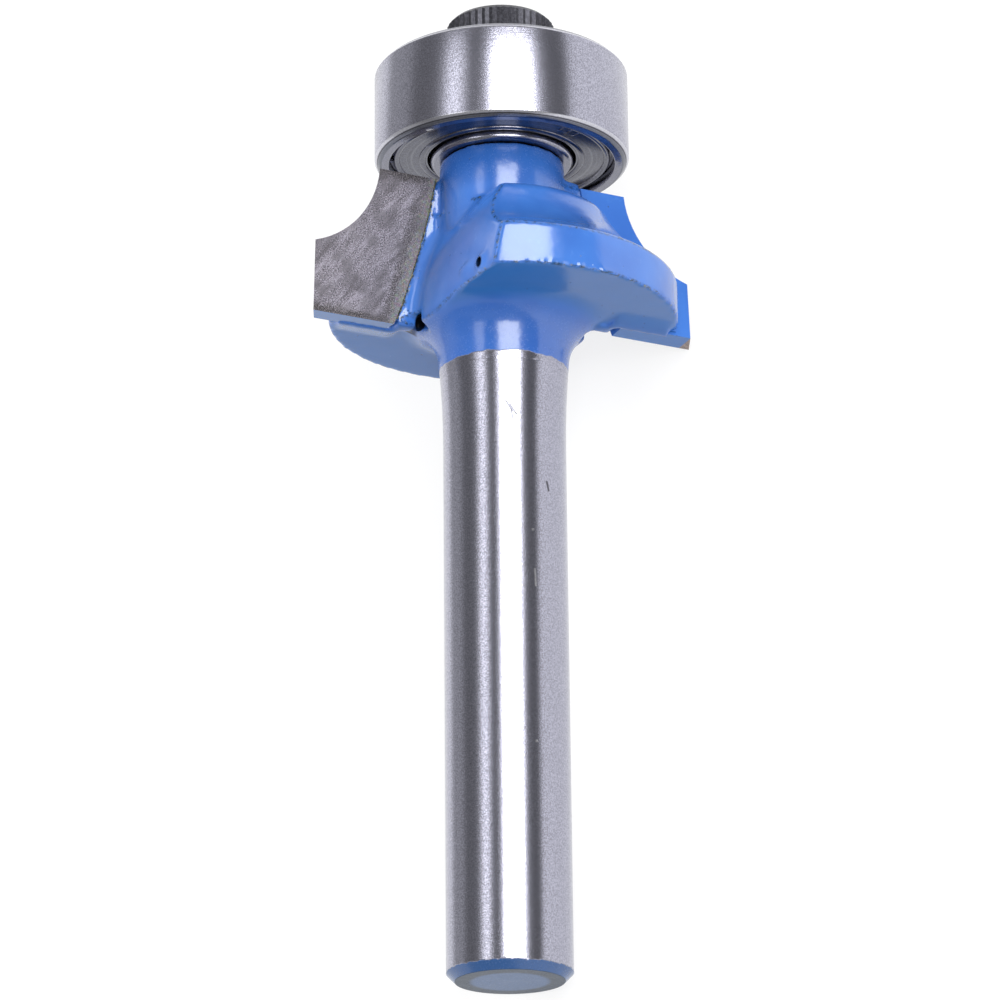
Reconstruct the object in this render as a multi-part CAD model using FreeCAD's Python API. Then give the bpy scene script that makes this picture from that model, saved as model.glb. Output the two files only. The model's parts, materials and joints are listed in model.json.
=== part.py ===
"""A guided round-over router bit, laid down as it comes to rest on a flat surface.

Everything is built about the bit's own axis: the axis is Z, the shank's free end is at
height 0 and the guide bearing is at the top. At the end one rigid move lays the bit on
its side, on the shank's end, one tip's corner and one heel of the cutter body.
"""
import FreeCAD
import Part
import math
import os

V = FreeCAD.Vector
UP = V(0, 0, 1)
AXIS_START = V(0, 0, 0)

# Shank
shank_dia = 6.0
shank_length = 33.0
shank_end_chamfer = 0.4
flare_length = 4.2
flare_rise = 0.2
head_fillet = 2.2

# Cutting size: the guide bearing's size is with the bearing, below
cutter_dia = 19.4
cove_radius = 4.7625
edge_height = 3.57
cove_short_of_top = 0.3

# Carbide tips
tip_count = 2
tip_direction = 27.5
tip_thickness = 1.2
tip_overhang = 0.27
face_behind_axis = 1.25
shear_height = 4.0
shear_angle = 4.9
relief_inwards = 0.49
relief_downwards = 0.5
tip_inner_low = 5.2
tip_inner_mid = 4.03
tip_inner_high = 3.25
braze_gap = 0.1

# Steel body behind the tips
body_radius = 8.3
body_split_ahead = 27.5
body_offset = 0.36
body_set_back = 1.64
shoulder_below_tip_top = 2.0
shoulder_round = 0.7
neck_dia = 6.2
neck_above_tip = 0.95

# Gullets in front of the tips
gullet_wall_facing = 28.5
gullet_wall_low = 4.22
gullet_wall_mid = 3.98
gullet_wall_mid_rise = 1.93
gullet_wall_high = 2.35
gullet_corner_round = 0.8
gullet_neck_round = 0.6
gullet_below_disc = 0.8
nick_reach = 3.7
nick_width = 1.1
nick_depth = 0.9
nick_height = 1.1

# Guide bearing
bearing_dia = 12.7
bearing_bore = 4.7625
bearing_width = 4.98
bearing_chamfer = 0.27
ring_face_width = 0.45
ball_share = 0.6
ball_count = 7
ball_play = 0.02
groove_ratio = 0.52
inner_land_share = 0.2055
inner_chamfer = 0.14

# Shields, snap rings and cage
shield_thickness = 0.2
shield_step = 0.5
shield_riser_out = 0.03
shield_seat_depth = 1.04
shield_gap = 0.17
shield_play = 0.03
shield_bead_round = 0.16
snap_thickness = 0.3
snap_width = 0.5
snap_clear = 0.09
snap_bite = 0.2
snap_play = 0.02
snap_gap_angle = 16.0
snap_gap_direction = 182.0
cage_thickness = 0.22
cage_share = 0.1915
cage_ball_play = 0.06
cage_half_gap = 0.01

# Screw and the spigot that it screws into
spigot_play = 0.011
spigot_below_bearing = 0.25
screw_dia = 3.0
screw_play = 0.02
screw_length = 8.0
screw_hole_spare = 0.8
drill_point_angle = 118.0
head_dia = 5.4
head_height = 2.73
head_bevel = 0.25
head_under_bevel = 0.06
knurl_count = 44
knurl_depth = 0.09
hex_across_flats = 2.5
hex_depth = 1.4
hex_point_depth = 0.4

# How far cutting shapes reach past what they cut, and how often the resting place is refined
margin = 1.0
settling_steps = 20

# Heights and radii that follow
shank_r = shank_dia / 2
flare_r = shank_r + flare_rise
flare_top = shank_length - head_fillet
flare_low = flare_top - flare_length
cutter_r = cutter_dia / 2
bearing_r = bearing_dia / 2
bore_r = bearing_bore / 2
neck_r = neck_dia / 2
screw_r = screw_dia / 2
bearing_wall = bearing_r - bore_r
ball_dia = ball_share * bearing_wall
ball_r = ball_dia / 2
tip_bottom = shank_length - tip_overhang
edge_top = tip_bottom + edge_height
cove_centre_r = bearing_r + cove_radius
cove_centre_z = edge_top + math.sqrt(cove_radius ** 2 - (cove_centre_r - cutter_r) ** 2)
tip_top = cove_centre_z - cove_short_of_top
shoulder_z = tip_top - shoulder_below_tip_top
bearing_z = tip_top + neck_above_tip
bearing_mid = bearing_z + bearing_width / 2
seat_z = bearing_z + shield_seat_depth
snap_top = seat_z - shield_thickness
snap_low = snap_top - snap_thickness
bearing_top = bearing_z + bearing_width
spigot_top = bearing_top - spigot_below_bearing
spigot_r = bore_r - spigot_play
pitch_r = (bearing_r + bore_r) / 2
race_r = groove_ratio * ball_dia
ring_face_r = bearing_r - bearing_chamfer - ring_face_width
snap_r_out = ring_face_r + snap_bite - snap_play
snap_r_in = snap_r_out - snap_width
bead_r = snap_r_in - snap_clear
riser_r = bead_r - shield_thickness
outer_land_r = riser_r + shield_riser_out
inner_land_r = pitch_r - inner_land_share * bearing_wall
cage_r_in = pitch_r - cage_share * bearing_wall / 2
cage_r_out = pitch_r + cage_share * bearing_wall / 2
cage_split = bearing_mid - cage_half_gap
head_r = head_dia / 2
head_top = bearing_top + head_height
gullet_low = shank_length - gullet_below_disc
shear_z = shank_length + shear_height
shear_slope = math.tan(math.radians(shear_angle))


def revolve(points):
    """Turn a closed outline of (radius, height) points about the axis."""
    corners = [V(r, 0, z) for r, z in points + points[:1]]
    return Part.Face(Part.makePolygon(corners)).revolve(AXIS_START, UP, 360)


def revolve_edges(edges):
    """Turn a closed outline of edges that lie in the plane y = 0."""
    wire = Part.Wire(Part.__sortEdges__(edges))
    return Part.Face(wire).revolve(AXIS_START, UP, 360)


def line(a, b):
    return Part.LineSegment(V(a[0], 0, a[1]), V(b[0], 0, b[1])).toShape()


def arc(a, b, c):
    return Part.Arc(V(a[0], 0, a[1]), V(b[0], 0, b[1]), V(c[0], 0, c[1])).toShape()


def on_arc(centre, radius, angle):
    turn = math.radians(angle)
    return (centre[0] + radius * math.cos(turn), centre[1] + radius * math.sin(turn))


def direction(start, end):
    """The direction from one (radius, height) point to another, in degrees."""
    return math.degrees(math.atan2(end[1] - start[1], end[0] - start[0]))


def turned(shape, angle):
    copy = shape.copy()
    copy.rotate(AXIS_START, UP, angle)
    return copy


def ring(inner, outer, low, high):
    return revolve([(inner, low), (outer, low), (outer, high), (inner, high)])


def wing_frame():
    """The place of a tip: x outwards, y out of the cutting face, z up, origin on the face."""
    shear = FreeCAD.Rotation(V(1, 0, 0), -shear_angle)
    frame = FreeCAD.Placement(V(0, -face_behind_axis, shear_z), shear)
    turn = FreeCAD.Placement(AXIS_START, FreeCAD.Rotation(UP, tip_direction))
    return turn.multiply(frame)


def in_wing(shape):
    copy = shape.copy()
    copy.transformShape(wing_frame().toMatrix(), False)
    return copy


def face_point(radius, height):
    """The point of the cutting face at this radius and height, as (x, z) in the wing frame."""
    back = face_behind_axis - shear_slope * (height - shear_z)
    return (math.sqrt(radius ** 2 - back ** 2), rise_on_face(height))


def rise_on_face(height):
    return (height - shear_z) / math.cos(math.radians(shear_angle))


def cove_arc_points():
    """Three points of the cutting edge's round: at the outer edge, half way and at the top."""
    half_z = (edge_top + tip_top) / 2
    half_r = cove_centre_r - math.sqrt(cove_radius ** 2 - (cove_centre_z - half_z) ** 2)
    top_r = cove_centre_r - math.sqrt(cove_radius ** 2 - (cove_centre_z - tip_top) ** 2)
    return face_point(cutter_r, edge_top), face_point(half_r, half_z), face_point(top_r, tip_top)


def inner_edge_points(gap):
    """Three points of the tip's inner edge, moved towards the axis by a gap."""
    low = (tip_inner_low - gap, rise_on_face(tip_bottom))
    mid = (tip_inner_mid - gap, rise_on_face((tip_bottom + tip_top) / 2))
    high = (tip_inner_high - gap, rise_on_face(tip_top))
    return low, mid, high


def tip_plate(gap, back, outwards, above, below):
    """A plate behind the cutting face, with the tip's inner edge and plain outer sides."""
    low, mid, high = inner_edge_points(gap)
    start = (low[0], low[1] - below)
    end = (high[0], high[1] + above)
    edges = [
        arc(low, mid, high),
        line(high, end),
        line(end, (outwards, end[1])),
        line((outwards, end[1]), (outwards, start[1])),
        line((outwards, start[1]), start),
    ]
    if below > 0:
        edges.append(line(start, low))
    face = Part.Face(Part.Wire(Part.__sortEdges__(edges)))
    return in_wing(face.extrude(V(0, -back, 0)))


def relief_tool():
    """What is ground away outside the cutting edge, falling back behind it."""
    outer, half, top = cove_arc_points()
    corner = face_point(cutter_r, tip_bottom)
    far = cutter_r + cutter_dia
    high = top[1] + cutter_dia
    deep = (2 * corner[0] - outer[0], 2 * corner[1] - outer[1])
    edges = [
        line(deep, outer),
        arc(outer, half, top),
        line(top, (0, top[1])),
        line((0, top[1]), (0, high)),
        line((0, high), (far, high)),
        line((far, high), (far, deep[1])),
        line((far, deep[1]), deep),
    ]
    face = Part.Face(Part.Wire(Part.__sortEdges__(edges)))
    back = tip_thickness + margin
    return in_wing(face.extrude(V(-relief_inwards * back, -back, -relief_downwards * back)))


def carbide_tip():
    plate = tip_plate(0, tip_thickness, cutter_dia, cove_short_of_top, 0)
    return plate.cut(relief_tool())


def body_blank():
    """Shank, fillet, disc, relieved cove, neck and spigot as one turned shape."""
    flare_mid = (shank_r + flare_rise / 4, (flare_low + flare_top) / 2)
    fillet_centre = (flare_r + head_fillet, flare_top)
    cove_centre = (cove_centre_r, cove_centre_z)
    body_cove = cove_radius + body_set_back
    rim_r = body_radius + body_offset
    rim_z = cove_centre_z - math.sqrt(body_cove ** 2 - (cove_centre_r - rim_r) ** 2)
    round_drop = cove_centre_z - (shoulder_z - shoulder_round)
    round_reach = math.sqrt((body_cove + shoulder_round) ** 2 - round_drop ** 2)
    round_centre = (cove_centre_r - round_reach, shoulder_z - shoulder_round)
    towards = direction(round_centre, cove_centre)
    cove_top = on_arc(round_centre, shoulder_round, towards)
    rim_angle = direction(cove_centre, (rim_r, rim_z))
    cove_mid = on_arc(cove_centre, body_cove, (rim_angle + towards - 180) / 2)
    hole_bottom = bearing_top - screw_length - screw_hole_spare
    point_drop = screw_r / math.tan(math.radians(drill_point_angle / 2))
    fillet_mid = on_arc(fillet_centre, head_fillet, 135)
    round_mid = on_arc(round_centre, shoulder_round, (towards + 90) / 2)
    outline = [
        line((0, 0), (shank_r - shank_end_chamfer, 0)),
        line((shank_r - shank_end_chamfer, 0), (shank_r, shank_end_chamfer)),
        line((shank_r, shank_end_chamfer), (shank_r, flare_low)),
        arc((shank_r, flare_low), flare_mid, (flare_r, flare_top)),
        arc((flare_r, flare_top), fillet_mid, (fillet_centre[0], shank_length)),
        line((fillet_centre[0], shank_length), (rim_r, shank_length)),
        line((rim_r, shank_length), (rim_r, rim_z)),
        arc((rim_r, rim_z), cove_mid, cove_top),
        arc(cove_top, round_mid, (round_centre[0], shoulder_z)),
        line((round_centre[0], shoulder_z), (neck_r, shoulder_z)),
        line((neck_r, shoulder_z), (neck_r, bearing_z)),
        line((neck_r, bearing_z), (spigot_r, bearing_z)),
        line((spigot_r, bearing_z), (spigot_r, spigot_top)),
        line((spigot_r, spigot_top), (screw_r, spigot_top)),
        line((screw_r, spigot_top), (screw_r, hole_bottom)),
        line((screw_r, hole_bottom), (0, hole_bottom - point_drop)),
        line((0, hole_bottom - point_drop), (0, 0)),
    ]
    return revolve_edges(outline)


def half_space(turn):
    """A block on one side of the plane through the axis that runs through both gullets."""
    size = 2 * cutter_dia
    height = bearing_top + size
    block = Part.makeBox(2 * size, size, 2 * height, V(-size, -size, -height))
    return turned(block, tip_direction + body_split_ahead + turn)


def rim_centre(turn):
    """The rim of each half is round about a point set off towards its own tip."""
    towards = math.radians(tip_direction + turn)
    return V(body_offset * math.cos(towards), body_offset * math.sin(towards), 0)


def relieved_blank():
    """The turned shape with each half's rim set off towards its own tip."""
    blank = body_blank()
    halves = []
    for index in range(tip_count):
        turn = index * 360 / tip_count
        rim = Part.makeCylinder(body_radius, bearing_top + 2 * margin, rim_centre(turn) - UP * margin, UP)
        halves.append(blank.common(rim).common(half_space(turn)))
    ribs = [turned(tip_rib(), index * 360 / tip_count) for index in range(tip_count)]
    return halves[0].fuse(halves[1:] + ribs).removeSplitter()


def wall_normal():
    facing = math.radians(gullet_wall_facing)
    return V(math.cos(facing), math.sin(facing), 0)


def wall_round():
    """The level round that the far wall follows: a point of its axis, and its radius."""
    low = V(gullet_wall_low, 0, shank_length)
    mid = V(gullet_wall_mid, 0, shank_length + gullet_wall_mid_rise)
    high = V(gullet_wall_high, 0, shoulder_z)
    circle = Part.Arc(low, mid, high).toShape().Curve
    return wall_normal() * circle.Center.x + UP * circle.Center.z, circle.Radius


def edges_on(shape, tests):
    """The edges whose middle and ends lie on every one of some surfaces."""
    found = []
    for edge in shape.Edges:
        first = edge.FirstParameter
        last = edge.LastParameter
        spots = [edge.valueAt(first), edge.valueAt((first + last) / 2), edge.valueAt(last)]
        if all(abs(test(spot)) < 1e-3 for test in tests for spot in spots):
            found.append(edge)
    return found


def gullet():
    """The space in front of one tip, down to the cutting face, its far wall and the neck."""
    size = 2 * cutter_dia
    high = bearing_z + neck_dia
    front = in_wing(Part.makeBox(2 * size, size, 2 * size, V(-size, 0, -size)))
    beyond = Part.makeBox(size, 2 * size, high - gullet_low, V(0, -size, gullet_low))
    beyond = turned(beyond, gullet_wall_facing)
    centre, radius = wall_round()
    across = UP.cross(wall_normal())
    wall = Part.makeCylinder(radius, 2 * size, centre - across * size, across)
    space = front.common(beyond).cut(wall)

    def on_neck(spot):
        return math.hypot(spot.x, spot.y) - neck_r

    def on_face(spot):
        return wing_frame().inverse().multVec(spot).y

    def on_wall(spot):
        away = spot - centre
        return math.hypot(away.dot(wall_normal()), away.z) - radius

    space = space.makeFillet(gullet_corner_round, edges_on(space, [on_face, on_wall]))
    space = space.cut(Part.makeCylinder(neck_r, high + margin))
    return space.makeFillet(gullet_neck_round, edges_on(space, [on_neck, on_wall]))


def nick():
    """The small nick that the seat's cutter leaves in the fillet below the disc."""
    return in_wing(Part.makeBox(nick_width, nick_depth, nick_height, V(nick_reach, 0, gullet_low - shear_z)))


def tip_seat():
    """The space that a tip and its braze take up in the steel."""
    return tip_plate(braze_gap, tip_thickness + braze_gap, cutter_dia, bearing_top, bearing_top)


def tip_front():
    """The corner's round stops at the tip's inner edge, which leaves the cutting face free."""
    return tip_plate(0, -gullet_corner_round, cutter_dia, bearing_top, bearing_top)


def tip_rib():
    """The rib of steel between the neck and the tip's inner edge, from the shoulder to the tip's top."""
    low = rise_on_face(shoulder_z - shoulder_round)
    high = rise_on_face(tip_top)
    corners = [V(x, 0, z) for x, z in (
        (screw_r, low), (tip_inner_mid, low), (tip_inner_mid, high), (screw_r, high), (screw_r, low))]
    back = V(0, -tip_thickness, -relief_downwards * tip_thickness)
    return in_wing(Part.Face(Part.makePolygon(corners)).extrude(back))


def bit_body(blank, spaces):
    """The steel body: the relieved shape less the spaces in front of and under each tip."""
    body = blank
    for index in range(tip_count):
        for space in spaces:
            body = body.cut(turned(space, index * 360 / tip_count))
    return body.removeSplitter()


def braze_seam(blank, seat):
    """The braze behind one tip and beside its inner edge, where the steel backs it."""
    tip_space = tip_plate(0, tip_thickness, cutter_dia + margin, bearing_top, bearing_top)
    return seat.common(blank).cut(tip_space)


def both_ways(shape):
    """The same shape on the upper side of the bearing's middle plane."""
    return shape.mirror(V(0, 0, bearing_mid), UP)


def race_groove(centre_r, radius):
    return Part.makeTorus(centre_r, radius, V(0, 0, bearing_mid), UP)


def outer_ring():
    solid = ring(outer_land_r, bearing_r, bearing_z, bearing_top)
    corner = revolve([
        (bearing_r - bearing_chamfer, bearing_z - margin),
        (bearing_r - bearing_chamfer, bearing_z),
        (bearing_r, bearing_z + bearing_chamfer),
        (bearing_r + margin, bearing_z + bearing_chamfer),
        (bearing_r + margin, bearing_z - margin),
    ])
    recess = ring(outer_land_r - margin, ring_face_r, bearing_z - margin, seat_z)
    groove = ring(ring_face_r - margin, ring_face_r + snap_bite, snap_low - snap_play, snap_top + snap_play)
    race = race_groove(pitch_r + ball_r + ball_play - race_r, race_r)
    for cutter in (corner, recess, groove):
        solid = solid.cut(cutter).cut(both_ways(cutter))
    return solid.cut(race)


def inner_ring():
    solid = revolve([
        (bore_r, bearing_z + inner_chamfer),
        (bore_r + inner_chamfer, bearing_z),
        (inner_land_r - inner_chamfer, bearing_z),
        (inner_land_r, bearing_z + inner_chamfer),
        (inner_land_r, bearing_top - inner_chamfer),
        (inner_land_r - inner_chamfer, bearing_top),
        (bore_r + inner_chamfer, bearing_top),
        (bore_r, bearing_top - inner_chamfer),
    ])
    return solid.cut(race_groove(pitch_r - ball_r - ball_play + race_r, race_r))


def ball_centre(index):
    turn = math.radians(index * 360 / ball_count)
    return V(pitch_r * math.cos(turn), pitch_r * math.sin(turn), bearing_mid)


def cage_lower():
    """The lower half of the cage: a thin ring with a round pocket under each ball."""
    half = ring(cage_r_in, cage_r_out, cage_split - cage_thickness, cage_split)
    limit = ring(cage_r_in, cage_r_out, bearing_z, cage_split)
    pocket_r = ball_r + cage_ball_play
    for index in range(ball_count):
        wall = Part.makeSphere(pocket_r + cage_thickness, ball_centre(index))
        half = half.fuse(wall.common(limit))
    for index in range(ball_count):
        half = half.cut(Part.makeSphere(pocket_r, ball_centre(index)))
    return half.removeSplitter()


def shield_lower():
    """A pressed ring: a flange on its seat, a step down and a flat disc round the inner ring."""
    rim_r = ring_face_r - shield_play
    low = seat_z - shield_thickness - shield_step
    disc_in = inner_land_r + shield_gap
    round_centre = (bead_r - shield_bead_round, low + shield_bead_round)
    round_mid = on_arc(round_centre, shield_bead_round, -45)
    outline = [
        line((disc_in, low), (round_centre[0], low)),
        arc((round_centre[0], low), round_mid, (bead_r, round_centre[1])),
        line((bead_r, round_centre[1]), (bead_r, seat_z - shield_thickness)),
        line((bead_r, seat_z - shield_thickness), (rim_r, seat_z - shield_thickness)),
        line((rim_r, seat_z - shield_thickness), (rim_r, seat_z)),
        line((rim_r, seat_z), (riser_r, seat_z)),
        line((riser_r, seat_z), (riser_r, low + shield_thickness)),
        line((riser_r, low + shield_thickness), (disc_in, low + shield_thickness)),
        line((disc_in, low + shield_thickness), (disc_in, low)),
    ]
    return revolve_edges(outline)


def snap_ring_lower():
    """The split ring that lies on the shield's flange and springs into the outer ring's groove."""
    start = snap_gap_direction + snap_gap_angle / 2
    wire = Part.makePolygon([
        V(snap_r_in, 0, snap_low),
        V(snap_r_out, 0, snap_low),
        V(snap_r_out, 0, snap_top),
        V(snap_r_in, 0, snap_top),
        V(snap_r_in, 0, snap_low),
    ])
    return turned(Part.Face(wire).revolve(AXIS_START, UP, 360 - snap_gap_angle), start)


def cap_screw():
    """Socket head screw: knurled head with a bevelled top, hexagon socket, plain thread."""
    points = []
    for index in range(2 * knurl_count):
        turn = math.radians(index * 180 / knurl_count)
        radius = head_r - knurl_depth * (index % 2)
        points.append(V(radius * math.cos(turn), radius * math.sin(turn), bearing_top))
    points.append(points[0])
    ribbed = Part.Face(Part.makePolygon(points)).extrude(V(0, 0, head_height))
    envelope = revolve([
        (0, bearing_top),
        (head_r - head_under_bevel, bearing_top),
        (head_r, bearing_top + head_under_bevel),
        (head_r, head_top - head_bevel),
        (head_r - head_bevel, head_top),
        (0, head_top),
    ])
    head = ribbed.common(envelope)
    thread_r = screw_r - screw_play
    end = bearing_top - screw_length
    thread = revolve([
        (0, end),
        (thread_r / 2, end),
        (thread_r, end + thread_r / 2),
        (thread_r, bearing_top),
        (0, bearing_top),
    ])
    floor = head_top - hex_depth
    corner = hex_across_flats / 2 / math.cos(math.radians(30))
    hexagon = []
    for index in range(7):
        turn = math.radians(index * 60)
        hexagon.append(V(corner * math.cos(turn), corner * math.sin(turn), floor))
    socket = Part.Face(Part.makePolygon(hexagon)).extrude(V(0, 0, hex_depth + margin))
    point_start = V(0, 0, floor - hex_point_depth)
    point = Part.makeCone(0, hex_across_flats / 2, hex_point_depth, point_start, UP)
    return head.fuse(thread).cut(socket).cut(point).removeSplitter()


def circle_meets_line(centre, radius, direction, distance):
    """Where a circle meets the line at this distance from the axis, on its far side."""
    normal = V(math.cos(direction), math.sin(direction), 0)
    along = V(-math.sin(direction), math.cos(direction), 0)
    foot = normal * distance
    away = (foot - centre).dot(normal)
    start = (foot - centre).dot(along)
    return foot + along * (math.sqrt(radius ** 2 - away ** 2) - start)


def resting_move():
    """The rigid move that lays the bit on its shank's rim, one tip's corner and one heel."""
    reach, rise = face_point(cutter_r, tip_bottom)
    tip = wing_frame().multVec(V(reach, 0, rise))
    facing = math.radians(gullet_wall_facing)
    heel = circle_meets_line(rim_centre(180), body_radius, facing, gullet_wall_low)
    heel.z = shank_length
    down = tip + heel
    for step in range(settling_steps):
        flat = V(down.x, down.y, 0).normalize()
        rim = flat * shank_r + UP * shank_end_chamfer
        down = (tip - rim).cross(heel - rim).normalize()
        if down.dot(flat) < 0:
            down = -down
    along = (UP - down * UP.dot(down)).normalize()
    side = along.cross(-down)
    return FreeCAD.Matrix(
        side.x, side.y, side.z, 0,
        along.x, along.y, along.z, 0,
        -down.x, -down.y, -down.z, down.dot(tip),
        0, 0, 0, 1)


def nodes():
    """Every piece about the bit's own axis, by name."""
    blank = relieved_blank()
    front = gullet()
    seat = tip_seat()
    tip = carbide_tip()
    seam = braze_seam(blank, seat)
    pieces = {"bit_body": bit_body(blank, [front, nick(), seat, tip_front()])}
    for index in range(tip_count):
        pieces[f"carbide_tip_{index + 1}"] = turned(tip, index * 360 / tip_count)
        pieces[f"braze_seam_{index + 1}"] = turned(seam, index * 360 / tip_count)
    pieces["bearing_outer_ring"] = outer_ring()
    pieces["bearing_inner_ring"] = inner_ring()
    for index in range(ball_count):
        pieces[f"bearing_ball_{index + 1}"] = Part.makeSphere(ball_r, ball_centre(index))
    paired = {"cage_{}_half": cage_lower(), "shield_{}": shield_lower(), "snap_ring_{}": snap_ring_lower()}
    for name, shape in paired.items():
        pieces[name.format("lower")] = shape
        pieces[name.format("upper")] = both_ways(shape)
    pieces["cap_screw"] = cap_screw()
    return pieces


def full_move(pieces):
    """The resting move, with the middle of the footprint brought over the origin."""
    move = resting_move()
    box = FreeCAD.BoundBox()
    for shape in pieces.values():
        laid = shape.copy()
        laid.transformShape(move, False)
        box.add(laid.optimalBoundingBox(False, False))
    shift = FreeCAD.Matrix()
    shift.move(V(-box.Center.x, -box.Center.y, 0))
    return shift * move


def main():
    os.makedirs("parts", exist_ok=True)
    pieces = nodes()
    move = full_move(pieces)
    for name, shape in pieces.items():
        laid = shape.copy()
        laid.transformShape(move, False)
        print(name, laid.isValid(), len(laid.Solids), round(laid.Volume, 3))
        laid.exportStep("parts/" + name + ".step")


if __name__ == "__main__":
    main()
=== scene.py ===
"""The looks of a guided round-over router bit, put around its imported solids."""

import json
import math
import random

import bmesh
import bpy
from mathutils import Matrix, Vector
from mathutils.kdtree import KDTree


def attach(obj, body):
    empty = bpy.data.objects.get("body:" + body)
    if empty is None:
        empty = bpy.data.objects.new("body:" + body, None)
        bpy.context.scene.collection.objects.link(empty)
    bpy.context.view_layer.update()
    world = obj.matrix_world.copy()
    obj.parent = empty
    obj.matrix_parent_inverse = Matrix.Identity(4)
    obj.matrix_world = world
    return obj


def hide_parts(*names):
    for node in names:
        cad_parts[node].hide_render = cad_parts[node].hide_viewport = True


bl_info = {
    "name": "Router bit finishes",
    "version": (1, 0, 0),
    "blender": (4, 5, 0),
    "location": "View3D > Sidebar > Router bit",
    "description": "Dresses the solids of a guided round-over bit in enamel, ground steel, carbide and black oxide",
    "category": "Object",
}

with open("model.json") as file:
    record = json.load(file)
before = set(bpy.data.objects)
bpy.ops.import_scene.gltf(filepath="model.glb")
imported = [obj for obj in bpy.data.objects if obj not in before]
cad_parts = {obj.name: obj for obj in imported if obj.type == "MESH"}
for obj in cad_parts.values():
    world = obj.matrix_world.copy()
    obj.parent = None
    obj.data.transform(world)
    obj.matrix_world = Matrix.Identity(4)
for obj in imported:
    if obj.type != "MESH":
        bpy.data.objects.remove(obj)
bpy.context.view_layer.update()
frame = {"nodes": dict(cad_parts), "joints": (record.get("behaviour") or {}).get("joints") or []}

MM = 0.001
bearing_joint = frame["joints"][0]

# The bit's own directions and its shank's end, seen in the frame
bearing_height = 43.988
bit_along = Vector(bearing_joint["axis"]).normalized()
bit_across = Vector((0.866763, 0.0640781, -0.494587)).normalized()
bit_depth = bit_along.cross(bit_across)
shank_end = Vector(bearing_joint["pos_m"]) - bit_along * bearing_height * MM
TO_BIT = Matrix((bit_across, bit_depth, bit_along))

# All sizes from here on are in millimetres about the bit's own axis, and angles in degrees.
# The cutting tips: how each one's face stands about the axis. The face lean is how far it
# comes forward for each millimetre of height, as the shear angle gives it
tip_count = 2
tip_direction = 27.5
face_behind_axis = 1.25
face_lean = 0.0857
shear_angle = 4.9
shear_height = 37.0
tip_thickness = 1.2
tip_bottom = 32.73
tip_top = 40.548
tip_inner_mid = 4.2
tip_inner_lean = 0.25

# The guide bearing: its two faces, the radius outside which its ring's outer edges lie, and the
# shields' faces with their beads, each by its radius, width and depth, and the dents' angles
bearing_low = 41.498
bearing_high = 46.478
edge_start = 6.0
ball_count = 7
shield_low = 41.838
shield_high = 46.138
shield_beads = ((5.24, 0.32, 0.12), (3.98, 0.34, 0.08))
shield_dents = (-52, -46, -40)
dent_radius = 4.75

# Flaws of the enamel in the gullet that the camera sees, and in the hollow beside the tip's foot
wall_facing = 28.5
pit_place = (-1.04, -6.88, 33.54)
scar_place = (-1.10, -6.70, 34.60)
run_place = (-1.75, -5.55, 33.75)
hollow_place = (-4.06, -0.25, 33.0)
# Painted shade: a box at the second tip's foot, inside which the notch is painted near black for the shade in it.
notch_shade_box = ((3.16, -1.2, -4.42), (4.12, 1.1, -3.52))

# Enamel that fills the steps beside each tip. A filler is given by its middle, size and lean
ramp_radius = 8.22
ramp_start = 4.5
ramp_front = -2.50
ramp_back = -2.84
ramp_slope = 12.0
neck_filler = ((3.06, -1.63, 38.9), (0.92, 1.2, 3.0), -0.2)
foot_filler = ((4.53, -2.03, 33.1), (0.8, 0.8, 0.72), 0.0)

# Beads of enamel along the disc's lower rim
drop_count = 44
disc_radius = 8.45
disc_low = 33.0

# How the enamel softens the body's shape
enamel_voxel = 0.112
enamel_softening = 13
enamel_wear_reach = 0.22
shank_wear_reach = 0.1

# Colours of shade, dirt and wear. The first six are painted shade: near black inside the pit and the notch, deeper
# blues on the neck under the bearing, in the fillet under the disc and on the bevel at the shank's foot, and the
# shank's end face, its dull grey-blue darkened as painted shade
hole_shade_black = (0.004, 0.006, 0.010, 1)
neck_shade_blue = (0.012, 0.075, 0.300, 1)
fillet_shade_blue = (0.014, 0.075, 0.300, 1)
foot_shade_blue = (0.014, 0.060, 0.180, 1)
end_middle_shaded = (0.085, 0.130, 0.230, 1)
end_border_shaded = (0.045, 0.060, 0.085, 1)
dust_colour = (0.62, 0.74, 0.86, 1)
speck_blue = (0.02, 0.05, 0.13, 1)
edge_soot = (0.010, 0.030, 0.050, 1)
edge_rust = (0.16, 0.16, 0.08, 1)
line_grey = (0.2, 0.2, 0.23, 1)
speck_grey = (0.07, 0.07, 0.08, 1)
carbide_light = (0.225, 0.210, 0.232, 1)
carbide_streak_dark = (0.075, 0.068, 0.075, 1)
carbide_streak_pale = (0.400, 0.375, 0.425, 1)
carbide_cloud = (0.085, 0.078, 0.088, 1)
carbide_soot = (0.012, 0.010, 0.011, 1)
carbide_salt = (0.30, 0.27, 0.27, 1)
rubbed_oxide = (0.22, 0.22, 0.25, 1)
dark_mark = (0.05, 0.05, 0.06, 1)
pale_mark = (0.9, 0.9, 0.95, 1)

# Scratches on the camera's side of the shank: two ends given across and along, width, colour
scratches = (
    (((0.05, 27.95), (0.40, 27.35)), 0.055, dark_mark),
    (((0.26, 27.75), (0.60, 27.20)), 0.055, dark_mark),
    (((0.33, 27.50), (0.43, 26.90)), 0.050, dark_mark),
    (((2.00, 24.05), (2.10, 23.55)), 0.060, dark_mark),
    (((1.30, 21.50), (1.32, 21.38)), 0.080, pale_mark),
    (((1.38, 19.50), (1.42, 18.60)), 0.055, pale_mark),
    (((1.36, 11.00), (1.38, 10.88)), 0.080, pale_mark),
)

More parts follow.
